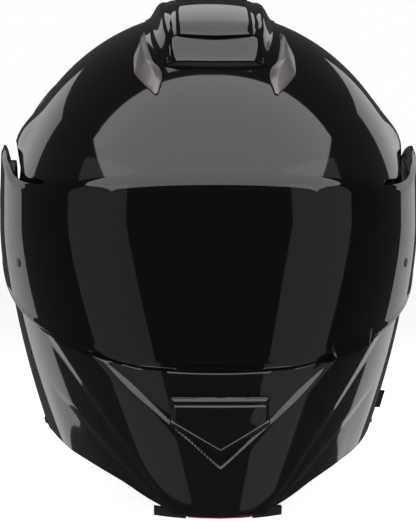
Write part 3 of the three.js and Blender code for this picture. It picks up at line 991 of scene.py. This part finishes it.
# ---------------------------------------------------------------- vents and spoiler
@dataclass
class CrownVents:
    """The top vent's cowl, slider and scoops, the side lenses and the rear spoiler."""

    widths: Curve = ((-108, 28.2), (-92, 33), (-76, 36), (-20, 38), (48, 31), (78, 19), (90, 9))
    mouth_height: float = 8.2

    def build(self) -> None:
        """Builds the pieces on the crown."""
        self.cowl()
        self.mouth()
        self.slider()
        self.scoops()
        self.side_lenses()
        self.spoiler()

    def cowl(self) -> None:
        """The long cover, bevelled at its sides and running out at the back."""
        front, length, bow = -107.6, 197, 4.6
        groove_x, groove_depth, seat = 24.2, 0.5, 0.8

        def place(s: float, t: float) -> Vector:
            """A point of the cover's face."""
            y = front + length * t + (1 - t) ** 6 * bow * s * s
            half = along(self.widths, y * MM)
            height = self.mouth_height - 4.2 * smooth((t - 0.62) * 10, 4.0)
            side = 1 - smooth((abs(s) - 0.84) * 10, 1.35)
            tail = 1 - smooth((t - 0.975) * 100, 2.6)
            lip = 5.4 * (1 - smooth(t * length - 8.5, 9.5))
            groove = groove_depth * smooth(1.0 - abs(abs(s) * half / MM - groove_x), 0.5)
            return SKIN.dome(half * s, y * MM, (seat + (height - lip - groove) * side * tail) * MM)

        made = thicken(sheet_of(72, 120, place), 0.7 * MM)
        keep(made, "crown_cowl", "gloss", "shell", ["top_vent_cowl"], 40)

    def mouth(self) -> None:
        """The dark lip inside the cowl's mouth, with a groove across it."""
        front, depth, bow, half = -108.6, 8, 4.6, 27

        def place(s: float, t: float) -> Vector:
            """A point of the lip."""
            y = front + depth * t + bow * s * s
            height = 0.7 + 1.5 * smooth(t * depth - 0.9, 0.5) - 0.7 * smooth(0.5 - abs(t * depth - 2.4), 0.3)
            return SKIN.dome(half * s * MM, y * MM, height * MM)

        keep(thicken(sheet_of(48, 16, place), 0.5 * MM), "cowl_mouth", "satin", "shell")

    def slider(self) -> None:
        """The sliding cover, low at its nose and rounded at its edges."""
        front, length, bow, depth = -95.8, 75.4, 4.0, 75
        stand, nose_drop, rounding = 11.5, 1.7, 1.0

        def place(s: float, t: float) -> Vector:
            """A point of the cover's face."""
            y = front + length * t + (1 - t) ** 5 * bow * s * s
            half = 20.6 - 1.4 * t
            edge = min(half * (1 - abs(s)), depth * (1 - t))
            nose = nose_drop * (1 - smooth(depth * t - 5.5, 6.5))
            height = stand - nose - rounding * (1 - smooth(edge - 0.9, 0.9))
            return SKIN.dome(half * s * MM, y * MM, height * MM)

        made = thicken(sheet_of(52, 100, place), 0.95 * MM)
        keep(made, "crown_slider", "gloss", "top_slider", ["top_vent_slider"], 40)

    def scoops(self) -> None:
        """The pair of pale scoops beside the mouth."""
        inner: Curve = (
            (-117.6, 32.6), (-111, 30.0), (-104.5, 31.2), (-98, 35.0), (-76, 38.6), (-62.2, 39.4),
        )
        outer: Curve = (
            (-117.6, 34.2), (-111, 39.6), (-100, 45.4), (-88, 45.6), (-76, 42.4), (-62.2, 39.6),
        )
        front, length, peak, peak_height = -117.6, 55.4, 0.34, 4.6
        for side, turn in SIDES:

            def place(s: float, t: float) -> Vector:
                """A point of the scoop's face."""
                y = front + length * t
                near = along(inner, y * MM)
                far = max(along(outer, y * MM), near)
                part = (s + 1) / 2
                slope = 1 - abs(part - peak) / (peak if part < peak else 1 - peak)
                ridge = peak_height * slope**0.8 * math.sin(min(t * 1.08, 1) * math.pi) ** 0.5
                return SKIN.dome(turn * (near + (far - near) * part), y * MM, (0.8 + ridge) * MM)

            made = thicken(sheet_of(24, 40, place), 0.6 * MM)
            keep(made, f"crown_scoop_{side}", "vent", "shell", [f"top_vent_scoop_{side}"], 28)

    def side_lenses(self) -> None:
        """The dark slanted lenses over the temples, each ringed by a painted highlight: a thin pale frame."""
        low: Curve = ((-24, 212), (-2, 224), (28, 240), (56, 253))
        high: Curve = ((-24, 213), (-18, 232), (4, 248), (40, 256), (56, 254))
        middle, reach = 16, 39.6
        for side, turn in SIDES:
            # The frame's pale vent grey is a painted highlight, standing in for the bright line round each
            # lens.
            for name, slot, grow, lift in (("frame", "vent", 0.0, 0.45), ("lens", "smoke", 0.07, 0.9)):

                def place(s: float, t: float) -> Vector:
                    """A point of the lens or its frame."""
                    y = (middle + reach * (1 - grow) * math.sin(s * math.pi / 2)) * MM
                    bottom, top = along(low, y), max(along(high, y), along(low, y))
                    z = bottom + (top - bottom) * (grow + (1 - 2 * grow) * t)
                    return SKIN.at(turn * angle_at(y, z), z, (lift + 0.5 * math.sin(math.pi * t)) * MM)

                nodes = [f"side_vent_{side}"] if name == "frame" else []
                made = thicken(sheet_of(48, 12, place), 0.5 * MM)
                keep(made, f"temple_{name}_{side}", slot, "shell", nodes)

    def spoiler(self) -> None:
        """The rear spoiler over the exhaust vent."""
        widths: Curve = ((214, 33), (226, 46), (232, 51), (245, 48), (258, 41), (264, 21))
        foot, tall, seat, ramp = 214.4, 49, 0.9, 7.2

        def place(s: float, t: float) -> Vector:
            """A point of the spoiler's face."""
            z = (foot + tall * t) * MM
            half = along(widths, z)
            angle = bisect(math.pi / 2, math.pi, lambda turn: SKIN.point(turn, z).x > half * abs(s), 24)
            edge = min((1 - abs(s)) * half / MM, tall * (1 - t) * 1.3)
            lift = seat + ramp * smooth(edge - 3.5, 3.8) * (0.42 + 0.58 * smooth((0.55 - t) * 4, 1.6))
            return SKIN.at(math.copysign(angle, s), z, lift * MM)

        made = thicken(sheet_of(70, 40, place), 0.7 * MM)
        keep(made, "tail_spoiler", "gloss", "shell", ["rear_spoiler"], 45)


# ---------------------------------------------------------------- soft pieces
@dataclass
class Lining:
    """The padded lining and the chin curtain."""

    pads: tuple[tuple[str, str, float, float], ...] = (
        ("cheek_pad_left", "shell", 4.0, 5.0),
        ("cheek_pad_right", "shell", 4.0, 5.0),
        ("neck_roll", "shell", 4.5, 3.0),
        ("crown_pad", "shell", 4.5, 2.0),
        ("chin_bar_pad_left", "chin_bar", 3.0, 1.5),
        ("chin_bar_pad_right", "chin_bar", 3.0, 1.5),
    )
    share: float = 0.35
    frames: int = 16
    pressure: float = 2.5
    stiffness: float = 25.0
    fill: float = 0.7

    def build(self) -> None:
        """Builds every soft piece."""
        for node, body, voxel, puff in self.pads:
            self.pad(node, body, voxel * MM, puff * MM)
        self.curtain()

    def pad(self, node: str, body: str, voxel: float, puff: float) -> None:
        """A cloth-covered pad, blown up a little inside its cover.

        Args:
            node: The CAD solid that it stands for.
            body: The body that it rides on.
            voxel: The remesh's cell.
            puff: How far the cover might swell, of which a point may move the class's share.
        """
        source = bpy.data.objects[node]
        made = bmesh.new()
        made.from_mesh(source.data)
        bmesh.ops.remove_doubles(made, verts=made.verts, dist=0.01 * MM)
        bmesh.ops.recalc_face_normals(made, faces=made.faces)
        mesh = bpy.data.meshes.new(f"{node}_cover")
        made.to_mesh(mesh)
        made.free()
        piece = bpy.data.objects.new(f"{node}_cover", mesh)
        bpy.context.scene.collection.objects.link(piece)
        bpy.context.view_layer.objects.active = piece
        remesh = piece.modifiers.new("remesh", "REMESH")
        remesh.mode, remesh.voxel_size = "VOXEL", voxel
        relax = piece.modifiers.new("relax", "SMOOTH")
        relax.factor, relax.iterations = 0.5, 6
        self.apply(piece)
        start = [vertex.co.copy() for vertex in piece.data.vertices]
        cloth = piece.modifiers.new("cloth", "CLOTH")
        cloth.settings.use_pressure = True
        cloth.settings.uniform_pressure_force = self.pressure
        cloth.settings.effector_weights.gravity = 0.0
        cloth.settings.tension_stiffness = cloth.settings.compression_stiffness = self.stiffness
        cloth.point_cache.frame_end = self.frames
        for frame in range(1, self.frames + 1):
            bpy.context.scene.frame_set(frame)
        self.apply(piece)
        for vertex, old in zip(piece.data.vertices, start):
            move = vertex.co - old
            if move.length > puff * self.share:
                vertex.co = old + move.normalized() * puff * self.share
        bpy.context.scene.frame_set(1)
        finer = piece.modifiers.new("finer", "SUBSURF")
        finer.levels = finer.render_levels = 1
        piece.data.shade_smooth()
        piece.data.materials.clear()
        piece.data.materials.append(finish("cloth"))
        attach(piece, body)
        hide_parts(node)
        LOG.info("%s padded with %d vertices", node, len(piece.data.vertices))

    @staticmethod
    def apply(piece: bpy.types.Object) -> None:
        """Replaces a piece's mesh by what its modifiers give."""
        shown = bpy.context.evaluated_depsgraph_get()
        mesh = bpy.data.meshes.new_from_object(piece.evaluated_get(shown))
        piece.modifiers.clear()
        piece.data = mesh

    def curtain(self) -> None:
        """The cloth across the chin bar's foot."""
        low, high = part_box("chin_curtain")
        depth, sag = high.y - low.y, 0.9 * MM

        def place(s: float, t: float) -> Vector:
            """A point of the cloth."""
            y = low.y + depth * t
            half = (high.x - 0.5 * MM) * (0.12 + 0.88 * t**0.62)
            return Vector((half * s, y, (low.z + high.z) / 2 - sag * (1 - s * s) * math.sin(math.pi * t)))

        made = thicken(sheet_of(40, 22, place), 0.8 * MM)
        piece = keep(made, "chin_cloth", "cloth", "chin_bar", ["chin_curtain"])


# ---------------------------------------------------------------- the studio
@dataclass
class Studio:
    """Camera, lights, pale floor and surroundings."""

    distance: float = 1.3
    height: float = 0.139
    turn: float = math.radians(-2.3)
    lens: float = 146.5
    lamps: tuple[tuple[str, Sequence[float], Sequence[float], tuple[float, float], float], ...] = (
        ("top_softbox", (0.0, -0.70, 1.15), (0.0, -0.02, 0.16), (3.9, 1.5), 25.0),
        ("left_strip", (-1.30, -0.62, 0.22), (0.0, 0.0, 0.17), (1.05, 1.5), 0.85),
        ("right_strip", (1.22, -0.75, 0.22), (0.0, 0.0, 0.17), (1.05, 1.5), 1.0),
        ("left_back", (-0.95, 1.15, 0.3), (0.0, 0.0, 0.17), (0.7, 1.4), 1.6),
        ("right_back", (0.95, 1.15, 0.3), (0.0, 0.0, 0.17), (0.7, 1.4), 1.6),
        ("overhead", (0.0, 0.45, 1.25), (0.0, 0.0, 0.2), (0.6, 0.9), 1.5),
    )

    def build(self) -> None:
        """Sets the scene round the object."""
        scene = bpy.context.scene
        scene.view_settings.view_transform = "Standard"
        data = bpy.data.cameras.new("camera")
        data.sensor_fit, data.sensor_height, data.lens = "VERTICAL", 36.0, self.lens
        data.clip_start, data.clip_end = 0.05, 60.0
        camera = bpy.data.objects.new("camera", data)
        scene.collection.objects.link(camera)
        across, back = self.distance * math.sin(self.turn), -self.distance * math.cos(self.turn)
        camera.location = (across, back, self.height)
        camera.rotation_euler = (math.pi / 2, 0.0, self.turn)
        scene.camera = camera
        for name, place, aim, size, power in self.lamps:
            self.lamp(name, Vector(place), Vector(aim), size, power)
        self.floor()
        self.surroundings()

    def lamp(self, name: str, place: Vector, aim: Vector, size: tuple[float, float], power: float) -> None:
        """One rectangular soft light."""
        data = bpy.data.lights.new(name, "AREA")
        data.shape, data.size, data.size_y, data.energy = "RECTANGLE", *size, power
        lamp = bpy.data.objects.new(name, data)
        bpy.context.scene.collection.objects.link(lamp)
        lamp.location = place
        lamp.rotation_euler = (aim - place).to_track_quat("-Z", "Y").to_euler()

    def floor(self) -> None:
        """A wide flat floor, pale and glowing a little, that gloss doesn't mirror."""
        made = bmesh.new()
        bmesh.ops.create_grid(made, x_segments=2, y_segments=2, size=14)
        mesh = bpy.data.meshes.new("floor")
        made.to_mesh(mesh)
        made.free()
        floor = bpy.data.objects.new("floor", mesh)
        bpy.context.scene.collection.objects.link(floor)
        paint = Paint("pale_floor", (0.86, 0.86, 0.86), 0.9)
        paint.set({"Emission Color": (1, 1, 1, 1), "Emission Strength": 0.92, "Specular IOR Level": 0.0})
        mesh.materials.append(paint.material)
        floor.visible_glossy = False

    def surroundings(self) -> None:
        """White to the camera, and to gloss a dark room that is a little paler behind."""
        world = bpy.data.worlds.new("surroundings")
        bpy.context.scene.world = world
        world.use_nodes = True
        nodes = Nodes(world.node_tree)
        place = nodes.node("ShaderNodeTexCoord", {}, {}, "Generated")
        level = nodes.node("ShaderNodeSeparateXYZ", {}, {0: place}, "Y") * 0.5 + 0.5
        stops = ((0.5, (0.012, 0.012, 0.014)), (1.0, (0.05, 0.05, 0.055)))
        room = nodes.node("ShaderNodeValToRGB", {"stops": stops}, {0: level})
        camera = nodes.node("ShaderNodeLightPath", {}, {}, "Is Camera Ray")
        seen = nodes.node("ShaderNodeMix", {"data_type": "RGBA"}, {0: camera, 6: room, 7: (1, 1, 1, 1)}, 2)
        nodes.fill(world.node_tree.nodes["Background"].inputs[0], seen)


def dress_frame(frame: dict) -> None:
    """Gives every CAD node that still shows its finish.
    """
    slots = {row["node"]: row["material_slot"] for row in frame["record"]["subparts"]}
    for name, node in frame["nodes"].items():
        for held in node.material_slots:
            held.material = finish(slots[name])


def main() -> None:
    """Builds the helmet in the order that its parts sit on each other."""
    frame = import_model()
    Studio().build()
    dress_frame(frame)
    for assembly in (OuterShell(), ChinBar(), FaceShield(), CrownVents(), Lining()):
        LOG.info("building %s", type(assembly).__name__)
        assembly.build()


if __name__ == "__main__":
    logging.basicConfig(level=logging.INFO, format="%(message)s")
    main()
